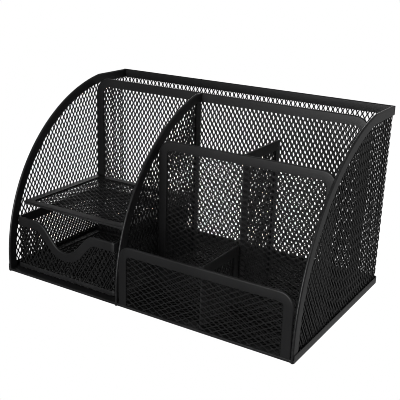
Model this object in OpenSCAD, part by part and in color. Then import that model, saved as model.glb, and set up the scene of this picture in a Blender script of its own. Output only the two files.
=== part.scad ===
// Mesh desk organizer with a drawer under a shelf.
// Every wall is a sheet of expanded mesh whose free edges sit in folded steel rims.
// Frame: +Z up, the front faces -Y, the origin is at the middle of the footprint, on the desk.
// Distances named "from the front" are measured along +Y from the organizer's foremost edge.

/* [Overall size] */
// Width over the band of the base
body_w = 220; // [190:1:300]
// Depth from the foremost edge to the rear of the band
body_d = 134; // [115:1:180]
// Height to the top of the rear edge
body_h = 125.5; // [105:0.5:155]
// Height at which the side walls' front edges start to curve back
curve_start = 8; // [2:0.5:20]
// How far the full circle of that curve would rise above the flat top
curve_cut = 1.6; // [0.5:0.1:4]

/* [Mesh and folded rims] */
// Thickness of the expanded mesh sheet
sheet_t = 0.8; // [0.5:0.1:1.2]
// Thickness of the steel strip that the rims are folded from
strip_t = 0.5; // [0.3:0.1:0.7]
// Depth of a rim from its closed edge to its open edge
rim_w = 6.2; // [4:0.1:7.5]
// Clearance between the edge of a mesh sheet and the fold that holds it
tuck_gap = 0.1; // [0.05:0.05:0.3]

/* [Base] */
// Height of the band round the sides and rear of the base
base_band_h = 5; // [3:0.5:9]
// Outside radius of the folds at the two rear corners
fold_r = 2; // [1.6:0.1:4]

/* [Panels and walls] */
// Distance from the front to the inner rear panel
inner_panel_y = 96; // [85:1:105]
// Radius of the inner rear panel's top corners
inner_corner_r = 12; // [8:0.5:20]
// Distance from the centre to the middle wall, towards the left
middle_wall_x = 15.5; // [5:0.5:25]
// Distance from the front to the tall panel
tall_panel_y = 45.8; // [38:0.1:60]
// How far the tall and inner panels' tops lie below the side walls' curve
panel_drop = 1.4; // [1:0.1:6]
// Distance from the front to the short panel
short_panel_y = 0.8; // [0.6:0.1:2]
// Height of the short panel's top
short_panel_h = 41.8; // [30:0.1:60]
// Radius of the tall and short panels' top corners
panel_corner_r = 9; // [8:0.5:14]
// Space between the short panel and the rims beside it
short_panel_gap = 0.6; // [0.3:0.1:1.5]
// Radius of the dividers' top corners
divider_corner_r = 1.5; // [0.5:0.5:4]
// Height of the weld beads that hold the short panel
bead_z = 24; // [12:1:28]
// Diameter of a weld bead
bead_d = 1.6; // [1:0.1:1.8]

/* [Shelf] */
// Height of the shelf's top face
shelf_top = 48; // [44:0.5:60]
// Distance from the front to the shelf
shelf_y = 13.8; // [13.8:0.1:25]
// Radius of the shelf's corners
shelf_corner_r = 4.5; // [2:0.5:15]

/* [Drawer] */
// Height of the drawer's top edge
drawer_top = 39.1; // [30:0.1:41]
// Distance from the front to the drawer
drawer_y = 6.2; // [2:0.1:10]
// Space between the drawer and the left rim
drawer_left_gap = 0.8; // [0.5:0.1:3]
// Space between the drawer and the middle rim
drawer_right_gap = 3.9; // [0.5:0.1:6]
// Space between the drawer and the inner rear panel
drawer_rear_gap = 1.6; // [0.5:0.1:5]
// Space between the drawer's underside and the front lip of the base
drawer_lift = 0.3; // [0.2:0.1:1]
// Height of the band round the drawer's floor
drawer_band_h = 3.5; // [2.5:0.1:6]
// Outside radius of the drawer's corners
drawer_corner_r = 3; // [2.6:0.1:6]
// Depth of the finger dip in the drawer's front
dip_depth = 17; // [12:0.5:20]
// Radius of the bottom of the dip
dip_r = 12; // [8:0.5:14]
// Radius of the shoulders beside the dip
dip_shoulder_r = 14; // [8:0.5:16]
// Steepest slope of the dip in degrees
dip_slope = 48; // [44:1:60]

/* [Hidden] */

RIM_COLOUR = [0.14, 0.14, 0.15];
MESH_COLOUR = [0.22, 0.22, 0.23];
$fn = 96;
curve_fn = 240;        // the side walls' long curve
arc_steps = 12;        // straight stretches in each arc of the finger dip

rim_t = sheet_t + 2 * strip_t;      // a rim's thickness: mesh between two leaves of strip
sheet_inset = strip_t + tuck_gap;   // mesh edge to the closed edge of its rim
floor_top = strip_t + sheet_t;      // top face of the base mesh
front = -body_d / 2;

// The walls stand inside the band of the base, one leaf of their own rim away from it.
wall_inset = 2 * strip_t;
wall_x = body_w / 2 - wall_inset - sheet_t / 2;
wall_face = wall_x - sheet_t / 2;
arc_rim_face = wall_x - rim_t / 2;
rear_wall_y = body_d - wall_inset - sheet_t / 2;
fold_inner_r = fold_r - wall_inset - sheet_t;
side_rim_depth = rear_wall_y - sheet_t / 2 - fold_inner_r;   // the side rims stop short of the fold

curve_r = body_h - curve_start + curve_cut;
function curve_z(y) =
    y >= curve_r ? body_h
                 : min(body_h, curve_start + sqrt(pow(curve_r, 2) - pow(curve_r - y, 2)));

inner_panel_top = curve_z(inner_panel_y) - panel_drop;
tall_panel_top = curve_z(tall_panel_y) - panel_drop;
middle_face = sheet_t / 2;          // half the middle wall's mesh
bay_right_x0 = -middle_wall_x + middle_face;
divider_x = (bay_right_x0 + wall_face) / 2;

// The short panel stands between the curved rims, the other panels between the walls.
short_panel_x0 = -middle_wall_x + rim_t / 2 + short_panel_gap;
short_panel_x1 = arc_rim_face - short_panel_gap;

shelf_x0 = -wall_face;
shelf_x1 = -middle_wall_x - rim_t / 2;
shelf_bead_places = [0.2, 0.8];     // shares of the shelf's depth

drawer_x0 = -arc_rim_face + drawer_left_gap;
drawer_x1 = -middle_wall_x - rim_t / 2 - drawer_right_gap;
drawer_w = drawer_x1 - drawer_x0;
drawer_d = inner_panel_y - drawer_rear_gap - drawer_y;
drawer_x = (drawer_x0 + drawer_x1) / 2;
drawer_z = rim_t + drawer_lift;
dip_flank = (dip_depth - (dip_shoulder_r + dip_r) * (1 - cos(dip_slope))) / sin(dip_slope);
dip_reach = (dip_shoulder_r + dip_r) * sin(dip_slope) + dip_flank * cos(dip_slope);

far = 2 * (body_w + body_d + body_h);   // longer than anything in the model
cut = 1;                                // how far a cut runs past the face that it opens

// ---------- shapes in a plane ----------

function arc(centre, r, from, to) = [
    for (i = [0 : arc_steps])
        let (a = from + (to - from) * i / arc_steps)
        centre + r * [cos(a), sin(a)]
];

// A rectangle from the origin with its two far corners rounded
module rounded_top(w, h, r) {
    if (r > 0) {
        square([w, h - r]);
        translate([r, 0]) square([w - 2 * r, h]);
        for (x = [r, w - r]) translate([x, h - r]) circle(r);
    } else {
        square([w, h]);
    }
}

// A rectangle from the origin with all four corners rounded
module rounded_rect(w, d, r) {
    if (r > 0) {
        translate([r, 0]) square([w - 2 * r, d]);
        translate([0, r]) square([w, d - 2 * r]);
        for (x = [r, w - r], y = [r, d - r]) translate([x, y]) circle(r);
    } else {
        square([w, d]);
    }
}

// The side walls' outline, depth across and height up, set in from its curved edge by inset
module curved_outline(inset, top, depth) {
    intersection() {
        union() {
            translate([curve_r, curve_start]) circle(curve_r - inset, $fn = curve_fn);
            translate([inset, 0]) square([far, curve_start]);
            translate([curve_r, 0]) square([far, far]);
        }
        translate([inset, rim_t]) square([depth - inset, top - inset - rim_t]);
    }
}

// A panel's outline, set in from its sides and top
module panel_outline(w, h, r, inset) {
    translate([inset, 0]) rounded_top(w - 2 * inset, h - inset, r - inset);
}

// The base's outline; its front stands back by one leaf, behind the tails of the curved rims
module base_outline(inset) {
    translate([-body_w / 2 + inset, front + strip_t + inset])
        rounded_top(body_w - 2 * inset, body_d - strip_t - 2 * inset, fold_r - inset);
}

// Everything inside the folded wall, open at the front
module wall_outline(inset) {
    translate([-body_w / 2 + inset, front])
        rounded_top(body_w - 2 * inset, body_d - inset, fold_r - inset);
}

module drawer_outline(inset) {
    translate([drawer_x0 + inset, front + drawer_y + inset])
        rounded_rect(drawer_w - 2 * inset, drawer_d - 2 * inset, drawer_corner_r - inset);
}

module shelf_outline(inset) {
    translate([shelf_x0 + inset, front + shelf_y + inset])
        rounded_rect(shelf_x1 - shelf_x0 - 2 * inset, inner_panel_y - shelf_y - 2 * inset,
                     shelf_corner_r - inset);
}

// The drawer front's outline, width across and height up, lowered from its top edge by inset
module dipped_outline(inset) {
    shoulder_z = drawer_top - dip_shoulder_r;
    dip_z = drawer_top - dip_depth + dip_r;
    polygon(concat(
        [[-drawer_w / 2, 0], [-drawer_w / 2, drawer_top - inset]],
        arc([-dip_reach, shoulder_z], dip_shoulder_r - inset, 90, 90 - dip_slope),
        arc([0, dip_z], dip_r + inset, 270 - dip_slope, 270 + dip_slope),
        arc([dip_reach, shoulder_z], dip_shoulder_r - inset, 90 + dip_slope, 90),
        [[drawer_w / 2, drawer_top - inset], [drawer_w / 2, 0]]
    ));
}

// ---------- placing those shapes ----------

// Depth across and height up, standing in the plane x
module side_plate(x, t) {
    translate([x - t / 2, front, 0]) rotate([90, 0, 90]) linear_extrude(t) children();
}

// Width across and height up, standing at y from the front
module front_plate(y, t) {
    translate([0, front + y + t / 2, 0]) rotate([90, 0, 0]) linear_extrude(t) children();
}

// ---------- folded rims ----------

// The space that the rim along a wall's curved edge takes up
module arc_rim_space(x, top, depth) {
    side_plate(x, rim_t) difference() {
        curved_outline(0, top, depth);
        curved_outline(rim_w, top, depth + far);
    }
}

// That rim, folded over the mesh; its closed edge ends in a tail over the base's lip
module arc_rim(x, top, depth) {
    difference() {
        arc_rim_space(x, top, depth);
        side_plate(x, sheet_t) curved_outline(strip_t, top, depth + far);
    }
    translate([x - rim_t / 2, front, 0]) cube([rim_t, strip_t, rim_t]);
}

// The rim round the sides and top of a standing panel
module panel_rim_shape(w, h, r) {
    difference() {
        panel_outline(w, h, r, 0);
        translate([0, -cut]) panel_outline(w, h + cut, r, rim_w);
    }
}

// A rim that lies flat round a floor, with an upright band outside it
module tray_rim(z, band_h) {
    translate([0, 0, z]) {
        difference() {
            linear_extrude(rim_t) children(0);
            translate([0, 0, -cut]) linear_extrude(rim_t + 2 * cut) children(2);
            translate([0, 0, strip_t]) linear_extrude(sheet_t) children(1);
        }
        difference() {
            linear_extrude(band_h) children(0);
            translate([0, 0, -cut]) linear_extrude(band_h + 2 * cut) children(1);
        }
    }
}

// ---------- base ----------

module base_mesh() {
    color(MESH_COLOUR)
        translate([0, 0, strip_t]) linear_extrude(sheet_t) base_outline(sheet_inset);
}

module base_rim() {
    color(RIM_COLOUR) difference() {
        tray_rim(0, base_band_h) {
            base_outline(0);
            base_outline(strip_t);
            base_outline(rim_w);
        }
        // the front has a low lip and no band, so that the drawer can pass
        translate([-body_w / 2 + strip_t, front - cut, rim_t])
            cube([body_w - 2 * strip_t, 2 * strip_t + 2 * cut, base_band_h]);
    }
}

// ---------- outer wall ----------

module wall_mesh() {
    color(MESH_COLOUR) intersection() {
        linear_extrude(body_h) difference() {
            wall_outline(wall_inset);
            wall_outline(wall_inset + sheet_t);
        }
        side_plate(0, body_w) curved_outline(sheet_inset, body_h, body_d);
    }
}

module side_arc_rim(x) {
    color(RIM_COLOUR) arc_rim(x, body_h, side_rim_depth);
}

module rear_top_rim() {
    half_w = wall_x + rim_t / 2;
    color(RIM_COLOUR) difference() {
        front_plate(rear_wall_y, rim_t)
            translate([-half_w, body_h - rim_w]) square([2 * half_w, rim_w]);
        front_plate(rear_wall_y, sheet_t)
            translate([-half_w + strip_t, 0]) square([2 * half_w - 2 * strip_t, body_h - strip_t]);
        // the curved rims end against the fold, so the inner leaf is short of them
        for (side = [0, 1]) mirror([side, 0, 0])
            translate([arc_rim_face, front + rear_wall_y - rim_t, body_h - rim_w - cut])
                cube([rim_t + cut, rim_t - sheet_t / 2, rim_w + 2 * cut]);
    }
}

// ---------- panels that stand across ----------

module cross_panel_mesh(x0, x1, y, top, r) {
    color(MESH_COLOUR) front_plate(y + rim_t / 2, sheet_t)
        translate([x0, rim_t]) panel_outline(x1 - x0, top - rim_t, r, sheet_inset);
}

module cross_panel_rim(x0, x1, y, top, r) {
    color(RIM_COLOUR) difference() {
        front_plate(y + rim_t / 2, rim_t)
            translate([x0, rim_t]) panel_rim_shape(x1 - x0, top - rim_t, r);
        front_plate(y + rim_t / 2, sheet_t)
            translate([x0, rim_t - cut]) panel_outline(x1 - x0, top - rim_t + cut, r, strip_t);
    }
}

module inner_panel_mesh() {
    cross_panel_mesh(-wall_face, wall_face, inner_panel_y, inner_panel_top, inner_corner_r);
}

module inner_panel_rim() {
    cross_panel_rim(-wall_face, wall_face, inner_panel_y, inner_panel_top, inner_corner_r);
}

module tall_panel_mesh() {
    cross_panel_mesh(bay_right_x0, wall_face, tall_panel_y, tall_panel_top, panel_corner_r);
}

// Its corners are notched where the curved rims pass beside them
module tall_panel_rim() {
    difference() {
        cross_panel_rim(bay_right_x0, wall_face, tall_panel_y, tall_panel_top, panel_corner_r);
        arc_rim_space(-middle_wall_x, inner_panel_top, inner_panel_y);
        arc_rim_space(wall_x, body_h, side_rim_depth);
    }
}

module short_panel_mesh() {
    cross_panel_mesh(short_panel_x0, short_panel_x1, short_panel_y, short_panel_h, panel_corner_r);
}

module short_panel_rim() {
    cross_panel_rim(short_panel_x0, short_panel_x1, short_panel_y, short_panel_h, panel_corner_r);
}

// ---------- walls that stand front to rear ----------

module middle_wall_mesh() {
    color(MESH_COLOUR) side_plate(-middle_wall_x, sheet_t)
        curved_outline(sheet_inset, inner_panel_top, inner_panel_y - sheet_inset);
}

module middle_arc_rim() {
    color(RIM_COLOUR) arc_rim(-middle_wall_x, inner_panel_top, inner_panel_y);
}

// The upright rim at the wall's rear edge; its top follows the curved rim above it
module middle_post_rim() {
    color(RIM_COLOUR) difference() {
        side_plate(-middle_wall_x, rim_t) intersection() {
            translate([inner_panel_y - rim_w, rim_t]) square([rim_w, inner_panel_top]);
            curved_outline(rim_w, inner_panel_top, far);
        }
        side_plate(-middle_wall_x, sheet_t) square([inner_panel_y - strip_t, body_h]);
    }
}

module divider_mesh(y0, y1, z0, top) {
    color(MESH_COLOUR) side_plate(divider_x, sheet_t)
        translate([y0, z0]) panel_outline(y1 - y0, top - z0, divider_corner_r, sheet_inset);
}

module divider_rim(y0, y1, z0, top) {
    color(RIM_COLOUR) difference() {
        side_plate(divider_x, rim_t)
            translate([y0, z0]) panel_rim_shape(y1 - y0, top - z0, divider_corner_r);
        side_plate(divider_x, sheet_t)
            translate([y0, z0 - cut])
                panel_outline(y1 - y0, top - z0 + cut, divider_corner_r, strip_t);
    }
}

module tall_divider_mesh() {
    divider_mesh(tall_panel_y + rim_t, inner_panel_y, floor_top, tall_panel_top);
}

module tall_divider_rim() {
    divider_rim(tall_panel_y + rim_t, inner_panel_y, floor_top, tall_panel_top);
}

module short_divider_mesh() {
    divider_mesh(short_panel_y + rim_t, tall_panel_y, rim_t, short_panel_h);
}

module short_divider_rim() {
    divider_rim(short_panel_y + rim_t, tall_panel_y, rim_t, short_panel_h);
}

// ---------- shelf ----------

module shelf_mesh() {
    color(MESH_COLOUR) translate([0, 0, shelf_top - strip_t - sheet_t])
        linear_extrude(sheet_t) shelf_outline(sheet_inset);
}

module shelf_rim() {
    color(RIM_COLOUR) translate([0, 0, shelf_top - rim_t]) difference() {
        linear_extrude(rim_t) difference() {
            shelf_outline(0);
            shelf_outline(rim_w);
        }
        translate([0, 0, strip_t]) linear_extrude(sheet_t) shelf_outline(strip_t);
    }
}

// ---------- weld beads ----------

// A bead that fills the gap from x0 to x1
module bead(x0, x1, y, z) {
    translate([x0, front + y, z]) rotate([0, 90, 0]) cylinder(h = x1 - x0, d = bead_d);
}

module weld_beads() {
    panel_mid_y = short_panel_y + rim_t / 2;
    color(RIM_COLOUR) {
        bead(-middle_wall_x + rim_t / 2, short_panel_x0, panel_mid_y + strip_t, bead_z);
        bead(short_panel_x1, arc_rim_face, panel_mid_y + strip_t, bead_z);
        for (share = shelf_bead_places)
            bead(shelf_x1, -middle_wall_x - middle_face,
                 shelf_y + share * (inner_panel_y - shelf_y), shelf_top - rim_t / 2);
    }
}

// ---------- drawer ----------

// Everything below the drawer's top edge: dipped over the front half, level over the rear half
module below_drawer_top(inset) {
    half_d = drawer_d / 2;
    translate([drawer_x, front + drawer_y + half_d, 0])
        rotate([90, 0, 0]) linear_extrude(half_d) dipped_outline(inset);
    translate([drawer_x0, front + drawer_y + half_d, 0])
        cube([drawer_w, half_d, drawer_top - inset]);
}

module drawer_ring(inset, t) {
    linear_extrude(body_h) difference() {
        drawer_outline(inset);
        drawer_outline(inset + t);
    }
}

module drawer_floor_mesh() {
    color(MESH_COLOUR) translate([0, 0, drawer_z + strip_t])
        linear_extrude(sheet_t) drawer_outline(sheet_inset);
}

module drawer_bottom_rim() {
    color(RIM_COLOUR) tray_rim(drawer_z, drawer_band_h) {
        drawer_outline(0);
        drawer_outline(strip_t);
        drawer_outline(rim_w);
    }
}

module drawer_wall_mesh() {
    color(MESH_COLOUR) intersection() {
        drawer_ring(2 * strip_t, sheet_t);
        below_drawer_top(sheet_inset);
        translate([-far / 2, -far / 2, drawer_z + rim_t]) cube([far, far, far]);
    }
}

module drawer_top_rim() {
    color(RIM_COLOUR) difference() {
        intersection() {
            drawer_ring(strip_t, rim_t);
            difference() {
                below_drawer_top(0);
                below_drawer_top(rim_w);
            }
        }
        intersection() {
            drawer_ring(2 * strip_t, sheet_t);
            below_drawer_top(strip_t);
        }
    }
}

base_mesh();
base_rim();
wall_mesh();
side_arc_rim(-wall_x);  // left_arc_rim
side_arc_rim(wall_x);  // right_arc_rim
rear_top_rim();
inner_panel_mesh();
inner_panel_rim();
middle_wall_mesh();
middle_arc_rim();
middle_post_rim();
shelf_mesh();
shelf_rim();
tall_panel_mesh();
tall_panel_rim();
short_panel_mesh();
short_panel_rim();
tall_divider_mesh();
tall_divider_rim();
short_divider_mesh();
short_divider_rim();
weld_beads();
drawer_floor_mesh();
drawer_bottom_rim();
drawer_wall_mesh();
drawer_top_rim();
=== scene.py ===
# A desk organizer of expanded steel mesh held in folded rims, with a drawer under its shelf.
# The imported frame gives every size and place. This script gives the pieces their real shape and finish.
import math

import bmesh
import bpy
from mathutils import Matrix, Vector


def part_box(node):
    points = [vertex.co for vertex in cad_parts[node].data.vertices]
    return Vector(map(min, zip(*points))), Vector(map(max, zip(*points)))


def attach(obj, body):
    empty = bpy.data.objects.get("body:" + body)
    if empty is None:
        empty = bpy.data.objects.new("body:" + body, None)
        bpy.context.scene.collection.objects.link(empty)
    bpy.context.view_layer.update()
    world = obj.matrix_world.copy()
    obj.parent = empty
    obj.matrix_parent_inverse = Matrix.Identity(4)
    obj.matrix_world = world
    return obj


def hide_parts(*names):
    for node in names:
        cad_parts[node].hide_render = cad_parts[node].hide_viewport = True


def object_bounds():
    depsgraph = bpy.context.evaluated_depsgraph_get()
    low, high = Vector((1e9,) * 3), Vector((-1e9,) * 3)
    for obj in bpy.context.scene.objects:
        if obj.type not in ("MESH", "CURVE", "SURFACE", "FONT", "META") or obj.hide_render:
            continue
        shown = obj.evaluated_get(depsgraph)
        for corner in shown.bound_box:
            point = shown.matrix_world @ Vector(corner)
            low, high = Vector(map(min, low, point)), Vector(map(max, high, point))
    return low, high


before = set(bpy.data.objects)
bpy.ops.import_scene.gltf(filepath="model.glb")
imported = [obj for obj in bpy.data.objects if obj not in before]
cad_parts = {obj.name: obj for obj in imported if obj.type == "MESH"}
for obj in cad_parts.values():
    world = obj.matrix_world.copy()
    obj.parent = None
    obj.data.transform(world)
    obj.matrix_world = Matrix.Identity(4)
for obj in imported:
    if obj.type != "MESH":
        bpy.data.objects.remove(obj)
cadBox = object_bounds()
scene = bpy.context.scene
mm = 0.001
print("frame loaded:", len(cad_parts), "nodes")


class Wire:  # an output socket that can stand in a sum
    def __init__(self, bench, socket):
        self.bench = bench
        self.socket = socket

    def __add__(self, other):
        return self.bench.maths("ADD", self, other)

    def __radd__(self, other):
        return self.bench.maths("ADD", other, self)

    def __sub__(self, other):
        return self.bench.maths("SUBTRACT", self, other)

    def __rsub__(self, other):
        return self.bench.maths("SUBTRACT", other, self)

    def __mul__(self, other):
        return self.bench.maths("MULTIPLY", self, other)

    def __rmul__(self, other):
        return self.bench.maths("MULTIPLY", other, self)

    def __truediv__(self, other):
        return self.bench.maths("DIVIDE", self, other)

    def __rtruediv__(self, other):
        return self.bench.maths("DIVIDE", other, self)

    def __mod__(self, other):
        return self.bench.maths("FLOORED_MODULO", self, other)

    def output(self, name):  # another output of the same node
        return Wire(self.bench, self.socket.node.outputs[name])


class Bench:  # adds nodes to one tree
    def __init__(self, tree):
        self.tree = tree

    def add(self, kind, settings=None, values=None):
        node = self.tree.nodes.new(kind)
        for name, value in (settings or {}).items():
            setattr(node, name, value)
        sockets = [socket for socket in node.inputs if socket.enabled]
        for key, value in (values or {}).items():
            socket = sockets[key] if isinstance(key, int) else next(s for s in sockets if s.name == key)
            if isinstance(value, Wire):
                self.tree.links.new(value.socket, socket)
            else:
                socket.default_value = value
        return Wire(self, next((s for s in node.outputs if s.enabled), None))

    def maths(self, operation, *terms):
        return self.add("ShaderNodeMath", {"operation": operation}, dict(enumerate(terms)))

    def vector(self, operation, *terms):
        return self.add("ShaderNodeVectorMath", {"operation": operation}, dict(enumerate(terms)))

    def split(self, vector):
        parts = self.add("ShaderNodeSeparateXYZ", {}, {"Vector": vector})
        return parts, parts.output("Y"), parts.output("Z")

    def join(self, x, y, z):
        return self.add("ShaderNodeCombineXYZ", {}, {"X": x, "Y": y, "Z": z})


def newTree(name, inputs):
    # A Geometry Nodes tree with named inputs; returns its bench and the inputs' wires
    tree = bpy.data.node_groups.new(name, "GeometryNodeTree")
    tree.interface.new_socket("Geometry", in_out="INPUT", socket_type="NodeSocketGeometry")
    for label, kind in inputs:
        tree.interface.new_socket(label, in_out="INPUT", socket_type=kind)
    tree.interface.new_socket("Geometry", in_out="OUTPUT", socket_type="NodeSocketGeometry")
    bench = Bench(tree)
    source = tree.nodes.new("NodeGroupInput")
    given = {s.name: Wire(bench, s) for s in source.outputs if s.name}
    return bench, given


def endTree(bench, geometry, coat):
    # Every tree ends in real faces with their coat on
    real = bench.add("GeometryNodeRealizeInstances", {}, {"Geometry": geometry})
    coated = bench.add("GeometryNodeSetMaterial", {}, {"Geometry": real, "Material": coat})
    bench.add("NodeGroupOutput", {}, {"Geometry": coated})
    return bench.tree


def layOnPlan(bench, flat, given):
    # Flat across, up and out become a place: across runs along the plan, up along Rise, out beside both
    across, up, out = bench.split(flat)
    plan = bench.add("GeometryNodeObjectInfo", {}, {"Object": given["Plan"]}).output("Geometry")
    length = bench.add("GeometryNodeCurveLength", {}, {"Curve": plan})
    along = (across + given["Lead"]) % length
    spot = bench.add("GeometryNodeSampleCurve", {"mode": "LENGTH"}, {"Curves": plan, "Length": along})
    beside = bench.vector("CROSS_PRODUCT", spot.output("Tangent"), given["Rise"])
    raised = bench.vector("SCALE", given["Rise"], up)
    pushed = bench.vector("SCALE", beside, out)
    place = bench.vector("ADD", bench.vector("ADD", spot.output("Position"), raised), pushed)
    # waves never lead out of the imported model's box
    return bench.vector("MINIMUM", bench.vector("MAXIMUM", place, tuple(cadBox[0])), tuple(cadBox[1]))


seedStride = 7.3  # keeps the waves of two seeds apart
weldGap = {"sheet": 0.02 * mm, "rim": 0.01 * mm}  # points closer than this become one
rayHeight = 1 * mm  # from here each lattice point is tested against the outline


def unevenness(bench, place, given):
    # Slight waves in a sheet or a rim, as a vector to add to its flat place
    noise = bench.add(
        "ShaderNodeTexNoise",
        {"noise_dimensions": "4D"},
        {"Vector": place, "W": given["Seed"] * seedStride, "Scale": 1 / given["Wave Length"], "Detail": 1.0},
    ).output("Color")
    centred = bench.vector("SUBTRACT", noise, (0.5, 0.5, 0.5))
    return bench.vector("MULTIPLY", centred, given["Wave Height"])


layInputs = [
    ("Plan", "NodeSocketObject"),
    ("Lead", "NodeSocketFloat"),
    ("Rise", "NodeSocketVector"),
    ("Wave Height", "NodeSocketVector"),
    ("Wave Length", "NodeSocketFloat"),
    ("Seed", "NodeSocketInt"),
    ("Coat", "NodeSocketMaterial"),
]


def expandedSheetTree():
    # Lays one knuckle of expanded mesh on every lattice point inside a flat outline
    ownInputs = [
        ("Knuckle", "NodeSocketObject"),
        ("Pitch Across", "NodeSocketFloat"),
        ("Pitch Up", "NodeSocketFloat"),
    ]
    bench, given = newTree("expanded sheet", ownInputs + layInputs)
    box = bench.add("GeometryNodeBoundBox", {}, {"Geometry": given["Geometry"]})
    left, low, _ = bench.split(box.output("Min"))
    right, high, _ = bench.split(box.output("Max"))
    rowPitch = given["Pitch Up"] / 2
    firstColumn = bench.maths("FLOOR", left / given["Pitch Across"])
    columns = bench.maths("CEIL", (right - left) / given["Pitch Across"]) + 2
    rows = bench.maths("CEIL", (high - low) / rowPitch)
    index = bench.add("GeometryNodeInputIndex")
    row = bench.maths("FLOOR", index / columns)
    column = index - row * columns + firstColumn + (row % 2) / 2
    latticePoint = bench.join(column * given["Pitch Across"], low + (row + 0.5) * rowPitch, 0.0)
    points = bench.add("GeometryNodePoints", {}, {"Count": rows * columns, "Position": latticePoint})
    above = bench.vector("ADD", bench.add("GeometryNodeInputPosition"), (0, 0, rayHeight))
    hit = bench.add(
        "GeometryNodeRaycast",
        {},
        {
            "Target Geometry": given["Geometry"],
            "Source Position": above,
            "Ray Direction": (0, 0, -1),
            "Ray Length": 2 * rayHeight,
        },
    )
    knuckle = bench.add("GeometryNodeObjectInfo", {}, {"Object": given["Knuckle"]}).output("Geometry")
    placed = bench.add(
        "GeometryNodeInstanceOnPoints", {}, {"Points": points, "Selection": hit, "Instance": knuckle}
    )
    real = bench.add("GeometryNodeRealizeInstances", {}, {"Geometry": placed})  # so that each can bend
    here = bench.add("GeometryNodeInputPosition")
    place = layOnPlan(bench, bench.vector("ADD", here, unevenness(bench, here, given)), given)
    laid = bench.add("GeometryNodeSetPosition", {}, {"Geometry": real, "Position": place})
    welded = bench.add(
        "GeometryNodeMergeByDistance", {}, {"Geometry": laid, "Distance": weldGap["sheet"]}
    )
    return endTree(bench, welded, given["Coat"])


def foldedRimTree():
    # Sweeps a folded profile along a flat edge. The edge's points carry how the profile is set in from them
    ownInputs = [("Profile", "NodeSocketObject"), ("Closed Loop", "NodeSocketInt")]
    bench, given = newTree("folded rim", ownInputs + layInputs)
    edge = given["Geometry"]
    profile = bench.add("GeometryNodeObjectInfo", {}, {"Object": given["Profile"]}).output("Geometry")
    stations = bench.add("GeometryNodeAttributeDomainSize", {"component": "MESH"}, {"Geometry": edge})
    corners = bench.add("GeometryNodeAttributeDomainSize", {"component": "MESH"}, {"Geometry": profile})
    index = bench.add("GeometryNodeInputIndex")
    row = bench.maths("FLOOR", index / (corners + 1))
    corner = (index - row * (corners + 1)) % corners
    station = row % stations
    position = bench.add("GeometryNodeInputPosition")

    def sampled(source, kind, value, spot):
        return bench.add(
            "GeometryNodeSampleIndex",
            {"data_type": kind, "domain": "POINT"},
            {"Geometry": source, "Value": value, "Index": spot},
        )

    def carried(kind, name):
        value = bench.add("GeometryNodeInputNamedAttribute", {"data_type": kind}, {"Name": name})
        return sampled(edge, kind, value, station)

    depth, out, extra = bench.split(sampled(profile, "FLOAT_VECTOR", position, corner))
    bend = carried("FLOAT", "bend")
    shallow = bench.maths("MINIMUM", depth, bend)
    past = bench.maths("MAXIMUM", depth - bend, 0.0)
    inward = bench.vector("SCALE", carried("FLOAT_VECTOR", "inward"), shallow)
    mitred = bench.vector("SCALE", carried("FLOAT_VECTOR", "mitre"), past)
    beside = bench.join(0.0, 0.0, out + carried("FLOAT", "stand") * extra)
    flat = bench.vector("ADD", sampled(edge, "FLOAT_VECTOR", position, station), inward)
    flat = bench.vector("ADD", bench.vector("ADD", flat, mitred), beside)
    grid = bench.add(
        "GeometryNodeMeshGrid",
        {},
        {"Vertices X": stations + given["Closed Loop"], "Vertices Y": corners + 1},
    )
    noted = bench.add(
        "GeometryNodeStoreNamedAttribute",
        {"data_type": "FLOAT", "domain": "POINT"},
        {"Geometry": grid, "Name": "foldDepth", "Value": depth},
    )
    place = layOnPlan(bench, bench.vector("ADD", flat, unevenness(bench, flat, given)), given)
    laid = bench.add("GeometryNodeSetPosition", {}, {"Geometry": noted, "Position": place})
    welded = bench.add(
        "GeometryNodeMergeByDistance", {}, {"Geometry": laid, "Distance": weldGap["rim"]}
    )
    return endTree(bench, welded, given["Coat"])


def grow(name, base, tree, values):
    # Runs a tree on a flat base mesh and keeps the result as a plain mesh object
    maker = bpy.data.objects.new(name, base)
    scene.collection.objects.link(maker)
    modifier = maker.modifiers.new("grow", "NODES")
    modifier.node_group = tree
    for item in tree.interface.items_tree:
        if item.in_out == "INPUT" and item.name in values:
            modifier[item.identifier] = values[item.name]
    depsgraph = bpy.context.evaluated_depsgraph_get()
    made = bpy.data.meshes.new_from_object(maker.evaluated_get(depsgraph), depsgraph=depsgraph)
    maker.modifiers.clear()
    maker.data = made
    made.name = name
    return maker


helpers = []  # they only feed the trees, and are removed before the frame is checked


def helperObject(name, data):
    helper = bpy.data.objects.new(name, data)
    scene.collection.objects.link(helper)
    helpers.append(helper)
    return helper


def helperMesh(name, places):
    data = bpy.data.meshes.new(name)
    data.from_pydata(places, [], [])
    return helperObject(name, data)


def planCurve(name, places, closed=False):
    data = bpy.data.curves.new(name, "CURVE")
    data.dimensions = "3D"
    spline = data.splines.new("POLY")
    spline.points.add(len(places) - 1)
    for point, place in zip(spline.points, places):
        point.co = (*place, 1)
    spline.use_cyclic_u = closed
    return helperObject(name, data)


def newMaterial(name):
    material = bpy.data.materials.new(name)
    material.use_nodes = True
    material.node_tree.nodes.clear()
    return material, Bench(material.node_tree)


def noiseAt(bench, place, size, detail=2.0):
    return bench.add("ShaderNodeTexNoise", {}, {"Vector": place, "Scale": 1 / size, "Detail": detail})


def ramp(bench, value, low, high):
    # 0 below low, 1 above high
    return bench.add(
        "ShaderNodeMapRange", {"clamp": True, "interpolation_type": "SMOOTHSTEP"},
        {"Value": value, "From Min": low, "From Max": high},
    )


def blendColours(bench, share, dark, light):
    colours = {"Factor": share, "A": (*dark, 1), "B": (*light, 1)}
    return bench.add("ShaderNodeMix", {"data_type": "RGBA"}, colours)


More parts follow.
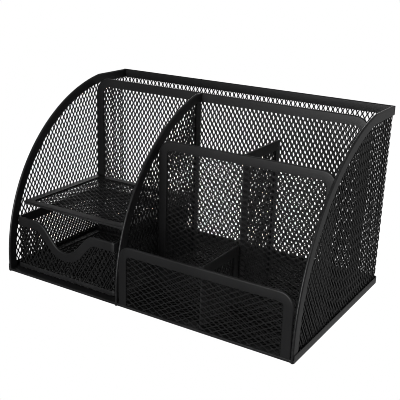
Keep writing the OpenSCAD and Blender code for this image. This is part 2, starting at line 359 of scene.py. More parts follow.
powderCoat = {
    "rim": {
        "colour": (0.0115, 0.0115, 0.0120),
        "paleColour": (0.030, 0.030, 0.031),  # where the coat is thin, and on a rim the paler colour of the painted highlight along its folded edge
        "roughness": 0.42,
        "specular": 0.40,
        "grain": 0.35 * mm,
        "peel": 1.6 * mm,
        "patch": 32 * mm,
        "relief": 0.048 * mm,
    },
    "mesh": {
        "colour": (0.0075, 0.0075, 0.0079),
        "paleColour": (0.020, 0.020, 0.021),
        "roughness": 0.50,
        "specular": 0.35,
        "grain": 0.22 * mm,
        "peel": 0.9 * mm,
        "patch": 26 * mm,
        "relief": 0.040 * mm,
    },
}
coatWearAndHighlight = {
    "grainShare": 0.4,  # of the pattern of thin coat; broad patches are the rest
    "thinFrom": 0.48,  # pattern values between which the coat thins
    "thinTo": 0.68,
    "thinning": 0.35,
    "foldFrom": 0.15 * mm,  # depths from a folded edge between which its painted highlight line fades
    "foldTo": 0.75 * mm,
    "foldPeelShare": 0.5,
    # the painted highlight along a rim's folded edge: where the pattern shows it, and how strongly
    "foldHighlightFrom": 0.38,
    "foldHighlightTo": 0.62,
    "foldHighlightStrength": 0.8,
    "patchRoughness": 0.16,  # what each pattern adds to or takes from the roughness
    "grainRoughness": 0.10,
    "wearAndHighlightRoughness": 0.04,
    "grainRelief": 0.35,  # of the relief; the orange peel is the rest
    "bump": 0.6,
}


def mixed(one, other, share):
    return one * share + other * (1 - share)


def coatMaterial(name, look, foldHighlightOn):
    material, bench = newMaterial(name)
    wornAndLit = coatWearAndHighlight
    place = bench.add("ShaderNodeTexCoord").output("Object")
    grain = noiseAt(bench, place, look["grain"])
    peel = noiseAt(bench, place, look["peel"], 1.0)
    patch = noiseAt(bench, place, look["patch"], 3.0)
    pattern = mixed(grain, patch, wornAndLit["grainShare"])
    wearAndHighlight = ramp(bench, pattern, wornAndLit["thinFrom"], wornAndLit["thinTo"]) * wornAndLit["thinning"]
    if foldHighlightOn:  # painted highlight: a paler line painted along the folded edge, broken up by noise
        depth = bench.add("ShaderNodeAttribute", {"attribute_name": "foldDepth"}).output("Fac")
        onFold = 1 - ramp(bench, depth, wornAndLit["foldFrom"], wornAndLit["foldTo"])
        pattern = mixed(peel, patch, wornAndLit["foldPeelShare"])
        foldHighlight = ramp(bench, pattern, wornAndLit["foldHighlightFrom"], wornAndLit["foldHighlightTo"])
        wearAndHighlight = wearAndHighlight + onFold * foldHighlight * wornAndLit["foldHighlightStrength"]
    # the coat goes paler where it is thin, and along the painted highlight on the folded edge
    colour = blendColours(bench, bench.maths("MINIMUM", wearAndHighlight, 1.0), look["colour"], look["paleColour"])
    roughness = look["roughness"] + (patch - 0.5) * wornAndLit["patchRoughness"]
    roughness = roughness + (grain - 0.5) * wornAndLit["grainRoughness"] - wearAndHighlight * wornAndLit["wearAndHighlightRoughness"]
    height = mixed(grain, peel, wornAndLit["grainRelief"])
    bump = bench.add(
        "ShaderNodeBump", {}, {"Strength": wornAndLit["bump"], "Distance": look["relief"], "Height": height}
    )
    shader = bench.add(
        "ShaderNodeBsdfPrincipled",
        {},
        {
            "Base Color": colour,
            "Roughness": roughness,
            "Specular IOR Level": look["specular"],
            "Normal": bump,
        },
    )
    bench.add("ShaderNodeOutputMaterial", {}, {"Surface": shader})
    return material


# the rims' coat carries a painted highlight along each folded edge; the mesh's coat has none
rimCoat = coatMaterial("rimCoat", powderCoat["rim"], True)
meshCoat = coatMaterial("meshCoat", powderCoat["mesh"], False)
print("finishes made")

tiny = 1e-7  # a gap this short has no direction
unlimited = 1.0  # deeper than any rim


def rightOf(direction):
    return Vector((direction.y, -direction.x)).normalized()


def traceEdge(corners, closed=False, step=4 * mm, arcStep=math.radians(7.5)):
    # Where a rim's closed edge runs, and how its profile is set in from there.
    # Corners are (x, y, radius) or (x, y, radius, stand); the sheet lies to the right of travel.
    # Each station is (place, inward, mitre, bend, stand), which setIn and the rim's tree read.
    spots = [Vector(corner[:2]) for corner in corners]
    count = len(corners)

    def direction(start, way):
        i = start + way
        while closed or 0 <= i < count:
            gap = (spots[i % count] - spots[start]) * way
            if gap.length > tiny:
                return gap
            i += way
        return None

    stations = []
    for i, corner in enumerate(corners):
        radius = corner[2]
        stand = corner[3] if len(corner) > 3 else 1.0
        arriving, leaving = direction(i, -1), direction(i, 1)
        first = rightOf(arriving or leaving)
        last = rightOf(leaving or arriving)
        mitre = (first + last) / (1 + first.dot(last))
        if radius <= 0:
            stations.append((spots[i], mitre, mitre, 0.0, stand))
            continue
        turn = math.atan2(first.cross(last), first.dot(last))
        outside = turn < 0  # the sheet is on the inner side of the bend
        centre = spots[i] + mitre * radius * (1 if outside else -1)
        pieces = max(2, math.ceil(abs(turn) / arcStep))
        for k in range(pieces + 1):
            inward = Matrix.Rotation(turn * k / pieces, 2) @ first
            place = centre - inward * radius if outside else centre + inward * radius
            stations.append((place, inward, mitre, radius if outside else unlimited, stand))
    filled = []
    pairs = zip(stations, stations[1:] + (stations[:1] if closed else []))
    for here, after in pairs:
        filled.append(here)
        gap = after[0] - here[0]
        pieces = math.ceil(gap.length / step) if gap.length > step else 1
        for k in range(1, pieces):
            normal = rightOf(gap)
            filled.append((here[0] + gap * k / pieces, normal, normal, 0.0, here[4]))
    return filled if closed else filled + stations[-1:]


def setIn(stations, depth):
    return [
        place + inward * min(depth, bend) + mitre * max(depth - bend, 0)
        for place, inward, mitre, bend, stand in stations
    ]


def edgeMesh(name, stations):
    data = bpy.data.meshes.new(name)
    data.from_pydata([(*station[0], 0) for station in stations], [], [])
    for label, kind, key, column in (
        ("inward", "FLOAT_VECTOR", "vector", 1),
        ("mitre", "FLOAT_VECTOR", "vector", 2),
        ("bend", "FLOAT", "value", 3),
        ("stand", "FLOAT", "value", 4),
    ):
        values = []
        for station in stations:
            values += [*station[column], 0] if key == "vector" else [station[column]]
        data.attributes.new(label, kind, "POINT").data.foreach_set(key, values)
    return data


folds = {
    "width": 6.2 * mm,  # from the closed edge to the cut edges
    "thickness": 1.8 * mm,  # of a lying rim, over its mesh
    "strip": 0.5 * mm,
    "foldSteps": 6,  # facets round the closed edge
    "leafEdge": 0.14 * mm,  # rounding of the strip's cut edge
    "waveHeight": (0.05 * mm, 0.05 * mm, 0.05 * mm),
    "waveLength": 26 * mm,
    "crease": math.radians(38),
}


def turnRound(centre, radius, start, end, steps):
    return [
        (centre[0] + radius * math.cos(a), centre[1] + radius * math.sin(a))
        for a in (math.radians(start + (end - start) * k / steps) for k in range(steps + 1))
    ]


def channelProfile(thickness):
    # A strip folded over a mesh: a closed round edge, and two leaves with cut edges
    width, strip = folds["width"], folds["strip"]
    edge, steps = folds["leafEdge"], folds["foldSteps"]
    half = thickness / 2
    points = [(width, half - edge), (width - edge, half)]
    points += turnRound((half, 0), half, 90, 270, steps * 2)
    points += [(width - edge, -half), (width, -half + edge), (width, -half + strip)]
    points += turnRound((half, 0), half - strip, 270, 90, steps)
    points += [(width, half - strip)]
    return [(x, y, 0) for x, y in points]


def trayProfile(bandHeight, bottomRound):
    # A lying channel with an upright band; the third number is what the band adds where it stands
    width, thickness, strip = folds["width"], folds["thickness"], folds["strip"]
    edge, steps = folds["leafEdge"], folds["foldSteps"]
    rise, half = bandHeight - thickness, strip / 2
    lowTurn = turnRound((bottomRound, bottomRound), bottomRound, 270, 180, steps)[1:]
    highTurn = turnRound((half, thickness - half), half, 180, 0, steps)
    points = [(width, 0, 0), (bottomRound, 0, 0)]
    points += [(x, y, 0) for x, y in lowTurn]
    points += [(x, y, rise) for x, y in highTurn]
    points += [(strip, thickness, 0), (width - edge, thickness, 0), (width, thickness - edge, 0)]
    points += [(width, thickness - strip, 0), (strip, thickness - strip, 0)]
    points += [(strip, strip, 0), (width, strip, 0)]
    return points


foldedRim = foldedRimTree()
expandedSheet = expandedSheetTree()


def closeSolid(piece, crease):
    # Caps open ends, points every face outwards and marks the sharp edges
    work = bmesh.new()
    work.from_mesh(piece.data)
    loose = [v for v in work.verts if not v.link_faces]
    bmesh.ops.delete(work, geom=loose, context="VERTS")
    openEdges = [e for e in work.edges if e.is_boundary]
    bmesh.ops.holes_fill(work, edges=openEdges, sides=0)
    caps = [f for f in work.faces if len(f.verts) > 4]
    bmesh.ops.triangulate(work, faces=caps)
    bmesh.ops.recalc_face_normals(work, faces=work.faces)
    if work.calc_volume(signed=True) < 0:
        bmesh.ops.reverse_faces(work, faces=work.faces)
    for face in work.faces:
        face.smooth = crease is not None
    work.to_mesh(piece.data)
    work.free()
    if crease is not None:
        piece.data.set_sharp_from_angle(angle=crease)


def finishPiece(piece, body, slot, *nodes):
    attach(piece, body)
    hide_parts(*nodes)


def lay(plan, lead=0.0, rise=(0, 0, 1)):
    return {"Plan": plan, "Lead": lead, "Rise": rise}


def rim(name, node, body, stations, profile, placing, closed=False, seed=0):
    values = {
        "Profile": helperMesh(name + ".profile", profile),
        "Closed Loop": int(closed),
        "Wave Height": folds["waveHeight"],
        "Wave Length": folds["waveLength"],
        "Seed": seed,
        "Coat": rimCoat,
        **placing,
    }
    piece = grow(name, edgeMesh(name + ".edge", stations), foldedRim, values)
    closeSolid(piece, folds["crease"])
    finishPiece(piece, body, "coated_rim", node)


expandedMesh = {
    # pitch across the diamonds, pitch along them, the width of a strand, and whether they lie level
    "upright": {"shortWay": 3.5 * mm, "longWay": 6.0 * mm, "strand": 0.62 * mm, "level": False},
    "level": {"shortWay": 3.65 * mm, "longWay": 6.2 * mm, "strand": 0.49 * mm, "level": True},
    # a little finer, so that it and the wall behind it don't make large shapes together
    "inner": {"shortWay": 3.22 * mm, "longWay": 5.52 * mm, "strand": 0.61 * mm, "level": False},
    "steel": 0.60 * mm,  # how deep a strand is
    "knuckleLength": 0.9 * mm,  # where two strands are still one
    "tilt": -0.05,  # how far the strands lean out of the sheet
    "hidden": 2.4 * mm,  # from a rim's closed edge to the first knuckles
    "waveHeight": (0.03 * mm, 0.03 * mm, 0.12 * mm),
    "waveLength": 30 * mm,
}


def knuckleShape(name, lattice, shortWay=None):
    # One knuckle with its four half strands; it joins its neighbours at the strands' middles
    look = expandedMesh
    half, bond = lattice["strand"], look["knuckleLength"] / 2  # a knuckle is two strands wide
    middle = Vector(((shortWay or lattice["shortWay"]) / 4, lattice["longWay"] / 4))
    run = (middle - Vector((half / 2, bond))).normalized()
    side = Vector((run.y, -run.x)) * lattice["strand"] / 2
    lower, upper = middle + side, middle - side
    notch = upper.y - upper.x * run.y / run.x
    flat = [(0, notch, 0), (0, -notch, 0)]
    arms = []
    for sx, sy in ((1, 1), (-1, 1), (-1, -1), (1, -1)):
        start = len(flat)
        lean = middle.x * sx
        flat.append((half * sx, bond * sy, half * sx))
        flat.append((lower.x * sx, lower.y * sy, lower.x * sx - lean))
        flat.append((upper.x * sx, upper.y * sy, upper.x * sx - lean))
        arms.append((start, start + 1, start + 2, 0 if sy > 0 else 1))
    work = bmesh.new()
    layers = []
    for out in (look["steel"] / 2, -look["steel"] / 2):
        layer = []
        for x, y, lean in flat:
            z = out + look["tilt"] * lean
            layer.append(work.verts.new((-y, x, z) if lattice["level"] else (x, y, z)))
        layers.append(layer)
    front, back = layers
    flanks = ((arms[0][0], arms[3][0]), (arms[1][0], arms[2][0]))
    walls = [*flanks]
    for flank, low, high, tip in arms:
        for layer in layers:
            work.faces.new([layer[tip], layer[flank], layer[low], layer[high]])
        walls += [(flank, low), (tip, high)]
    for above, below in flanks:
        for layer in layers:
            work.faces.new([layer[0], layer[above], layer[below], layer[1]])
    for a, b in walls:
        work.faces.new([front[a], front[b], back[b], back[a]])
    data = bpy.data.meshes.new(name)
    work.to_mesh(data)
    work.free()
    return helperObject(name, data)


knuckles = {
    kind: knuckleShape(kind + "Knuckle", expandedMesh[kind]) for kind in ("upright", "level", "inner")
}


def sheet(name, node, body, outline, placing, kind="upright", seed=0, knuckle=None, pitch=None):
    look = expandedMesh
    base = bpy.data.meshes.new(name + ".outline")
    base.from_pydata([(*place, 0) for place in outline], [], [list(range(len(outline)))])
    lattice = look[kind]
    across, up = lattice["shortWay"], lattice["longWay"]
    if lattice["level"]:
        across, up = up, across
    values = {
        "Knuckle": knuckle or knuckles[kind],
        "Pitch Across": pitch or across,
        "Pitch Up": up,
        "Wave Height": look["waveHeight"],
        "Wave Length": look["waveLength"],
        "Seed": seed,
        "Coat": meshCoat,
        **placing,
    }
    piece = grow(name, base, expandedSheet, values)
    closeSolid(piece, None)
    finishPiece(piece, body, "coated_mesh", node)


hidden = expandedMesh["hidden"]
reach = 400 * mm  # half the length of a straight plan, longer than any piece
meshSeeds = 50  # added to a rim's seed for the mesh that it holds


def acrossPlan(name, depth):
    return lay(planCurve(name, [(-reach, depth, 0), (reach, depth, 0)]), reach)


def rearwardPlan(name, across):
    return lay(planCurve(name, [(across, -reach, 0), (across, reach, 0)]), reach)


def levelPlan(name, height):
    return lay(planCurve(name, [(-reach, 0, height), (reach, 0, height)]), reach, (0, 1, 0))


panels = {
    "innerPanel": {"node": "inner_panel", "across": True, "radius": 12 * mm, "mesh": "inner"},
    "tallPanel": {"node": "tall_panel", "across": True, "radius": 9 * mm, "mesh": "level"},
    "shortPanel": {"node": "short_panel", "across": True, "radius": 9 * mm, "mesh": "level"},
    "tallDivider": {"node": "tall_divider", "across": False, "radius": 1.5 * mm, "mesh": "upright"},
    "shortDivider": {"node": "short_divider", "across": False, "radius": 1.5 * mm, "mesh": "upright"},
}


def standingPanel(name, panel, seed):
    # A sheet with a rim up both sides and over its top
    node = panel["node"]
    low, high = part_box(node + "_rim")
    near = 0 if panel["across"] else 1  # the axis along the panel
    thin = 1 - near
    makePlan = acrossPlan if panel["across"] else rearwardPlan
    placing = makePlan(name + ".plan", (low[thin] + high[thin]) / 2)
    corners = [
        (low[near], low.z, 0),
        (low[near], high.z, panel["radius"]),
        (high[near], high.z, panel["radius"]),
        (high[near], low.z, 0),
    ]
    stations = traceEdge(corners)
    profile = channelProfile(high[thin] - low[thin])
    rim(name + "Rim", node + "_rim", "frame", stations, profile, placing, seed=seed)
    outline = setIn(stations, hidden)
    outline[0].y = outline[-1].y = low.z
    sheet(name + "Mesh", node + "_mesh", "frame", outline, placing, panel["mesh"], seed + meshSeeds)


for order, (name, panel) in enumerate(panels.items()):
    standingPanel(name, panel, order + 1)
print("standing panels made")

# The curved walls: two sides with the rear between them, and the middle wall
sideCurve = {
    "start": 8 * mm,  # height at which the front edge starts to lean back
    "cut": 1.6 * mm,  # how far the full circle would rise above the flat top
    "steps": 40,
}
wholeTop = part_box("left_arc_rim")[1].z
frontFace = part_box("left_arc_rim")[0].y
curveRadius = wholeTop - sideCurve["start"] + sideCurve["cut"]


def curvedEdge(top, end):
    # Depth from the front and height, up the curved front edge and back along the flat top
    start = sideCurve["start"]
    lean = math.asin((top - start) / curveRadius)
    corners = [(0, 0, 0)]
    for k in range(sideCurve["steps"] + 1):
        angle = lean * k / sideCurve["steps"]
        depth = curveRadius * (1 - math.cos(angle))
        corners.append((depth, start + curveRadius * math.sin(angle), 0))
    return corners + [(end, top, 0)]


def arcRim(name, node, seed):
    low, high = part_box(node)
    middle = (low.x + high.x) / 2
    stations = traceEdge(curvedEdge(high.z, high.y - low.y))
    placing = lay(planCurve(name + ".plan", [(middle, low.y - reach, 0), (middle, reach, 0)]), reach)
    rim(name, node, "frame", stations, channelProfile(high.x - low.x), placing, seed=seed)
    return stations


arcRim("leftArcRim", "left_arc_rim", 11)
arcRim("rightArcRim", "right_arc_rim", 12)
middleEdge = arcRim("middleArcRim", "middle_arc_rim", 13)

wallFold = {
    "sheet": 0.8 * mm,
    "radius": 0.6 * mm,  # at the middle of the folded sheet
    "steps": 6,
    "lead": 20 * mm,  # plan before the front edge
}
wallLow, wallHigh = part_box("wall_mesh")
wallMid = wallFold["sheet"] / 2
foldRadius, lead = wallFold["radius"], wallFold["lead"]
sideX, rearY = wallHigh.x - wallMid, wallHigh.y - wallMid
foldAngles = [math.radians(90 * k / wallFold["steps"]) for k in range(wallFold["steps"] + 1)]
leftFold = [
    (-sideX + foldRadius * (1 - math.cos(a)), rearY - foldRadius * (1 - math.sin(a)), 0)
    for a in foldAngles
]
rightFold = [(-x, y, z) for x, y, z in reversed(leftFold)]
wallPath = [(-sideX, frontFace - lead, 0), *leftFold, *rightFold, (sideX, frontFace - lead, 0)]
wallPlan = lay(planCurve("wall.plan", wallPath), lead)
foldLength = foldRadius * math.pi / 2
sideRun = rearY - foldRadius - frontFace  # along the left wall to the start of the fold
foldAt = sideRun + foldLength / 2
wallRun = 2 * foldAt + 2 * (sideX - foldRadius) + foldLength
wallFoot = wallLow.z
sideStations = traceEdge(curvedEdge(wholeTop, foldAt))
sideOutline = [place for place in setIn(sideStations, hidden) if place.y > wallFoot]
sideOutline = [Vector((sideOutline[0].x, wallFoot)), *sideOutline, Vector((foldAt, wallFoot))]
rearOutline = [
    Vector((foldAt, wallFoot)),
    Vector((foldAt, wholeTop - hidden)),
    Vector((wallRun - foldAt, wholeTop - hidden)),
    Vector((wallRun - foldAt, wallFoot)),
]
mirrored = [Vector((wallRun - place.x, place.y)) for place in reversed(sideOutline)]
sheet("leftWallMesh", "wall_mesh", "frame", sideOutline, wallPlan, seed=61)
sheet("rearWallMesh", "wall_mesh", "frame", rearOutline, wallPlan, seed=61)
sheet("rightWallMesh", "wall_mesh", "frame", mirrored, wallPlan, seed=61)

rearLow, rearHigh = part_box("rear_top_rim")
rearPlan = acrossPlan("rearTop.plan", (rearLow.y + rearHigh.y) / 2)
rearStations = traceEdge([(rearLow.x, rearHigh.z, 0), (rearHigh.x, rearHigh.z, 0)])
rearProfile = channelProfile(rearHigh.y - rearLow.y)
rim("rearTopRim", "rear_top_rim", "frame", rearStations, rearProfile, rearPlan, seed=14)

postLow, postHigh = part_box("middle_post_rim")
middlePlan = rearwardPlan("middleWall.plan", (postLow.x + postHigh.x) / 2)
postStations = traceEdge([(postHigh.y, postHigh.z, 0), (postHigh.y, postLow.z, 0)])
postProfile = channelProfile(postHigh.x - postLow.x)
rim("middlePostRim", "middle_post_rim", "frame", postStations, postProfile, middlePlan, seed=15)

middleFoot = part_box("middle_wall_mesh")[0].z
middleRear = postHigh.y - hidden
middleOutline = [place for place in setIn(middleEdge, hidden) if place.y > middleFoot]
middleOutline = [place + Vector((frontFace, 0)) for place in middleOutline]
middleOutline[-1].x = middleRear
middleFront = middleOutline[0].x
middleOutline = [Vector((middleFront, middleFoot)), *middleOutline, Vector((middleRear, middleFoot))]
sheet("middleWallMesh", "middle_wall_mesh", "frame", middleOutline, middlePlan, seed=62)
print("curved walls made")

trays = {  # floors in a lying rim with an upright band, which the front may lack
    "base": {
        "rim": "base_rim",
        "mesh": "base_mesh",
        "body": "frame",
        "cornerRadius": 2 * mm,
        "bottomRound": 0.45 * mm,
        "openFront": True,
        "seed": 21,
    },
    "drawerFloor": {
        "rim": "drawer_bottom_rim",
        "mesh": "drawer_floor_mesh",
        "body": "drawer",
        "cornerRadius": 3 * mm,
        "bottomRound": 0.9 * mm,
        "openFront": False,
        "seed": 22,
    },
}


def boxCorners(low, high, frontRadius, rearRadius):
    return [
        (low.x, low.y, frontRadius),
        (low.x, high.y, rearRadius),
        (high.x, high.y, rearRadius),
        (high.x, low.y, frontRadius),
    ]


def tray(name, look):
    low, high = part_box(look["rim"])
    radius, body, seed = look["cornerRadius"], look["body"], look["seed"]
    corners = boxCorners(low, high, 0 if look["openFront"] else radius, radius)
    if look["openFront"]:  # the band lies down along the front
        corners += [(high.x, low.y, 0, 0), (low.x, low.y, 0, 0)]
    stations = traceEdge(corners, closed=True)
    profile = trayProfile(high.z - low.z, look["bottomRound"])
    placing = levelPlan(name + ".plan", low.z)
    rim(name + "Rim", look["rim"], body, stations, profile, placing, closed=True, seed=seed)
    floorPlan = levelPlan(name + ".floorPlan", low.z + folds["thickness"] / 2)
    outline = setIn(stations, hidden)
    sheet(name + "Mesh", look["mesh"], body, outline, floorPlan, kind="level", seed=seed + meshSeeds)


for name, look in trays.items():
    tray(name, look)

shelf = {"cornerRadius": 4.5 * mm, "seed": 23}
shelfLow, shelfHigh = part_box("shelf_rim")
shelfCorners = boxCorners(shelfLow, shelfHigh, shelf["cornerRadius"], shelf["cornerRadius"])
shelfStations = traceEdge(shelfCorners, closed=True)
shelfPlan = levelPlan("shelf.plan", (shelfLow.z + shelfHigh.z) / 2)
shelfProfile = channelProfile(shelfHigh.z - shelfLow.z)
rim(
    "shelfRim", "shelf_rim", "frame", shelfStations, shelfProfile, shelfPlan,
    closed=True, seed=shelf["seed"],
)
sheet(
    "shelfMesh", "shelf_mesh", "frame", setIn(shelfStations, hidden), shelfPlan,
    kind="level", seed=shelf["seed"] + meshSeeds,
)
print("base, shelf and drawer floor made")

drawerWall = {  # one sheet bent round, with a finger dip in the front
    "dipDepth": 17 * mm,
    "bottomRadius": 12 * mm,
    "shoulderRadius": 14 * mm,
    "slope": math.radians(48),
    "topStep": 1.2 * mm,  # between stations along the top edge
    "cornerStep": math.radians(15),
    "seed": 24,
}


def dipSize(wall):
    # Half the dip's width and its depth, where its straight flanks would meet
    slope, shoulder, bottom = wall["slope"], wall["shoulderRadius"], wall["bottomRadius"]
    flank = (wall["dipDepth"] - (shoulder + bottom) * (1 - math.cos(slope))) / math.sin(slope)
    slant = flank + shoulder * math.tan(slope / 2) + bottom * math.tan(slope)
    return slant * math.cos(slope), slant * math.sin(slope)


ringLow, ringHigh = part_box("drawer_wall_mesh")
ringX = (ringLow.x + ringHigh.x) / 2
ringStep = ringLow.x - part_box("drawer_bottom_rim")[0].x
ringRadius = trays["drawerFloor"]["cornerRadius"] - ringStep - wallMid
west, east = ringLow.x + wallMid, ringHigh.x - wallMid
south, north = ringLow.y + wallMid, ringHigh.y - wallMid
ringCorners = [
    (east, north, ringRadius),
    (east, south, ringRadius),
    (west, south, ringRadius),
    (west, north, ringRadius),
]
ringTurns = traceEdge(ringCorners, closed=True, step=reach, arcStep=drawerWall["cornerStep"])
ringPath = [(ringX, north, 0)] + [(*turn[0], 0) for turn in ringTurns]
ringPlan = lay(planCurve("ring.plan", ringPath, closed=True))
ringRun = sum(
    (Vector(after) - Vector(before)).length
    for before, after in zip(ringPath, ringPath[1:] + ringPath[:1])
)
dipHalf, dipDrop = dipSize(drawerWall)
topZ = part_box("drawer_top_rim")[1].z
topCorners = [
    (0, topZ, 0),
    (ringRun / 2 - dipHalf, topZ, drawerWall["shoulderRadius"]),
    (ringRun / 2, topZ - dipDrop, drawerWall["bottomRadius"]),
    (ringRun / 2 + dipHalf, topZ, drawerWall["shoulderRadius"]),
    (ringRun, topZ, 0),
]
topStations = traceEdge(topCorners, step=drawerWall["topStep"])
topProfile = channelProfile(folds["thickness"])
rim(
    "drawerTopRim", "drawer_top_rim", "drawer", topStations[:-1], topProfile, ringPlan,
    closed=True, seed=drawerWall["seed"],
)

columns = round(ringRun / expandedMesh["upright"]["shortWay"])
ringPitch = ringRun / columns  # a whole number of diamonds goes round
ringKnuckle = knuckleShape("ringKnuckle", expandedMesh["upright"], ringPitch)
ringTop = setIn(topStations, hidden)
seam = Vector((-ringPitch / 4, 0))  # the ends meet between two knuckles
ringOutline = [
    Vector((0, ringLow.z)) + seam,
    ringTop[0] + seam,
    *ringTop[1:-1],
    ringTop[-1] + seam,
    Vector((ringRun, ringLow.z)) + seam,
]
sheet(
    "drawerWallMesh", "drawer_wall_mesh", "drawer", ringOutline, ringPlan,
    seed=drawerWall["seed"] + meshSeeds, knuckle=ringKnuckle, pitch=ringPitch,
)
print("drawer made")

weldBeads = {
    "rings": 7,
    "sides": 12,
    "taper": 0.22,  # how much thinner the ends are than the middle
    "lumps": 3,  # round each bead
    "lumpDepth": 0.06,
    "lumpTwist": 5,  # radians from end to end
    "samePlace": 0.001 * mm,
}


def joinedGroups(work):
    # The vertices of each separate bead
    groups, seen = [], set()
    for start in work.verts:
        if start in seen:
            continue
        group, queue = set(), [start]
        while queue:
            vert = queue.pop()
            if vert in group:
                continue
            group.add(vert)
            queue += [edge.other_vert(vert) for edge in vert.link_edges]
        seen |= group
        groups.append(group)
    return groups


def addBead(work, low, high):
    # Rings along one bead's box, closed at both ends
    middle, radius, sides = (low + high) / 2, (high.z - low.z) / 2, weldBeads["sides"]
    rings = []
    for k in range(weldBeads["rings"]):
        share = k / (weldBeads["rings"] - 1)
        swell = 1 - weldBeads["taper"] * (2 * share - 1) ** 2
        x = low.x + (high.x - low.x) * share
        ring = []
        for side in range(sides):
            angle = 2 * math.pi * side / sides
            ripple = (1 + math.sin(weldBeads["lumps"] * angle + weldBeads["lumpTwist"] * share)) / 2
            lump = radius * swell * (1 - weldBeads["lumpDepth"] * ripple)
            y = middle.y + lump * math.cos(angle)
            z = middle.z + lump * math.sin(angle)
            ring.append(work.verts.new((x, y, z)))
        rings.append(ring)
    for one, other in zip(rings, rings[1:]):
        for side in range(sides):
            after = (side + 1) % sides
            work.faces.new([one[side], one[after], other[after], other[side]])
    work.faces.new(rings[0])
    work.faces.new(rings[-1])


def makeBeads():
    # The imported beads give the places; each becomes a lump that swells at its middle
    source = bmesh.new()
    source.from_mesh(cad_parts["weld_beads"].data)
    bmesh.ops.remove_doubles(source, verts=source.verts, dist=weldBeads["samePlace"])
    work = bmesh.new()
    for group in joinedGroups(source):
        low = Vector(map(min, *[vert.co for vert in group]))
        high = Vector(map(max, *[vert.co for vert in group]))
        addBead(work, low, high)
    source.free()
    data = bpy.data.meshes.new("weldBeads")
    work.to_mesh(data)
    work.free()
    data.materials.append(rimCoat)
    piece = bpy.data.objects.new("weldBeads", data)
    scene.collection.objects.link(piece)
    closeSolid(piece, folds["crease"])
    finishPiece(piece, "frame", "coated_rim", "weld_beads")


makeBeads()
for helper in helpers:
    bpy.data.objects.remove(helper)
print("pieces finished")

studio = {
    "floorHalf": 4.0,
    "floorDrop": 0.2 * mm,  # below the base's underside
    "white": 1.0,
    "shade": 0.0015,  # under the base, where hardly any light gets
    "shadeFull": 5 * mm,  # in from the base's sides, where the shade is full
    "shadeEnd": 2.5 * mm,  # and where it ends
    "rearGlow": 0.42,  # what the coat mirrors: a bright sweep behind,
    "frontGlow": 0.06,  # the dimmer room in front
    "topGlow": 0.05,  # and a dark ceiling
    "frontToRear": (-0.35, 0.45),  # parts of a unit direction between which each takes over
    "sideToTop": (0.25, 0.80),
    "lightsAim": (0, 0, 0.06),
    "pixelFilter": 0.9,  # keeps the fine mesh crisp
}


def studioFloor():
    material, bench = newMaterial("paleFloor")
    x, y, _ = bench.split(bench.add("ShaderNodeTexCoord").output("Object"))
    high, full, end = cadBox[1], studio["shadeFull"], studio["shadeEnd"]
    inX = 1 - ramp(bench, bench.maths("ABSOLUTE", x), high.x - full, high.x - end)
    inY = 1 - ramp(bench, bench.maths("ABSOLUTE", y), high.y - full, high.y - end)
    colour = blendColours(bench, inX * inY, (studio["white"],) * 3, (studio["shade"],) * 3)
    glow = bench.add("ShaderNodeEmission", {}, {"Color": colour, "Strength": 1.0})
    bench.add("ShaderNodeOutputMaterial", {}, {"Surface": glow})
    half, z = studio["floorHalf"], -studio["floorDrop"]
    corners = [(-half, -half, z), (half, -half, z), (half, half, z), (-half, half, z)]
    data = bpy.data.meshes.new("floor")
    data.from_pydata(corners, [], [(0, 1, 2, 3)])
    data.materials.append(material)
    floor = bpy.data.objects.new("floor", data)
    scene.collection.objects.link(floor)
    floor.visible_glossy = False  # the black coat sees the dim room, not the white floor
    floor.visible_diffuse = False


def studioWorld():
    world = bpy.data.worlds.new("studio")
    world.use_nodes = True
    world.node_tree.nodes.clear()
    bench = Bench(world.node_tree)
    seen = bench.add("ShaderNodeLightPath").output("Is Camera Ray")
    _, rearward, upward = bench.split(bench.add("ShaderNodeTexCoord").output("Generated"))
    turned = ramp(bench, rearward, *studio["frontToRear"])
    side = studio["frontGlow"] + turned * (studio["rearGlow"] - studio["frontGlow"])
    ceiling = ramp(bench, upward, *studio["sideToTop"])
    room = side * (1 - ceiling) + ceiling * studio["topGlow"]
    strength = seen + (1 - seen) * room
    glow = bench.add("ShaderNodeBackground", {}, {"Color": (1, 1, 1, 1), "Strength": strength})
    bench.add("ShaderNodeOutputWorld", {}, {"Surface": glow})
    scene.world = world


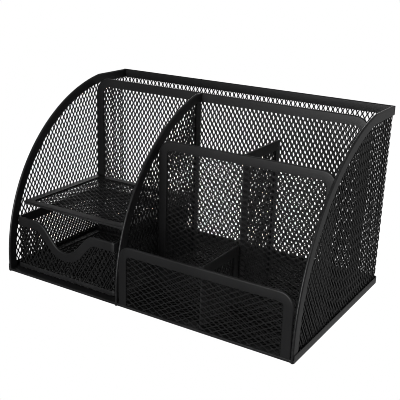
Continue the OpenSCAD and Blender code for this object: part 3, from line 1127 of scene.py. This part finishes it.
softboxes = {
    "keyRight": {"place": (1.1, -0.25, 0.75), "size": 0.9, "power": 1},
    "top": {"place": (0.0, 0.1, 1.3), "size": 1.2, "power": 1.5},
    "frontFill": {"place": (0.0, -1.3, 0.22), "size": 0.7, "power": 12.5},
    "rearFill": {"place": (-0.7, 1.2, 0.35), "size": 0.8, "power": 4},
}


def softbox(name, box):
    data = bpy.data.lights.new(name, "AREA")
    data.shape = "SQUARE"
    data.size = box["size"]
    data.energy = box["power"]
    light = bpy.data.objects.new(name, data)
    light.location = box["place"]
    aim = Vector(studio["lightsAim"]) - Vector(box["place"])
    light.rotation_euler = aim.to_track_quat("-Z", "Y").to_euler()
    scene.collection.objects.link(light)


cameraView = {
    "target": (-0.63 * mm, 10.78 * mm, 53.37 * mm),
    "azimuth": math.radians(31.36),
    "elevation": math.radians(18.68),
    "roll": math.radians(1.90),
    "distance": 526.43 * mm,
    "lens": 68.74,
    "sensor": 36,
    "shift": -0.0057,
    "clip": (0.02, 20),
}


def placeCamera():
    view = cameraView
    data = bpy.data.cameras.new("camera")
    data.lens = view["lens"]
    data.sensor_width = view["sensor"]
    data.shift_x = view["shift"]
    data.clip_start, data.clip_end = view["clip"]
    azimuth, elevation, roll = view["azimuth"], view["elevation"], view["roll"]
    back = Vector((
        math.sin(azimuth) * math.cos(elevation),
        -math.cos(azimuth) * math.cos(elevation),
        math.sin(elevation),
    ))
    level = Vector((math.cos(azimuth), math.sin(azimuth), 0))
    upward = back.cross(level)
    right = level * math.cos(roll) + upward * math.sin(roll)
    up = upward * math.cos(roll) - level * math.sin(roll)
    camera = bpy.data.objects.new("camera", data)
    turned = Matrix((right, up, back)).transposed().to_4x4()
    camera.matrix_world = Matrix.Translation(Vector(view["target"]) + back * view["distance"]) @ turned
    scene.collection.objects.link(camera)
    scene.camera = camera


studioFloor()
studioWorld()
for name, box in softboxes.items():
    softbox(name, box)
placeCamera()
scene.view_settings.view_transform = "Standard"
scene.cycles.filter_width = studio["pixelFilter"]
print("studio set")
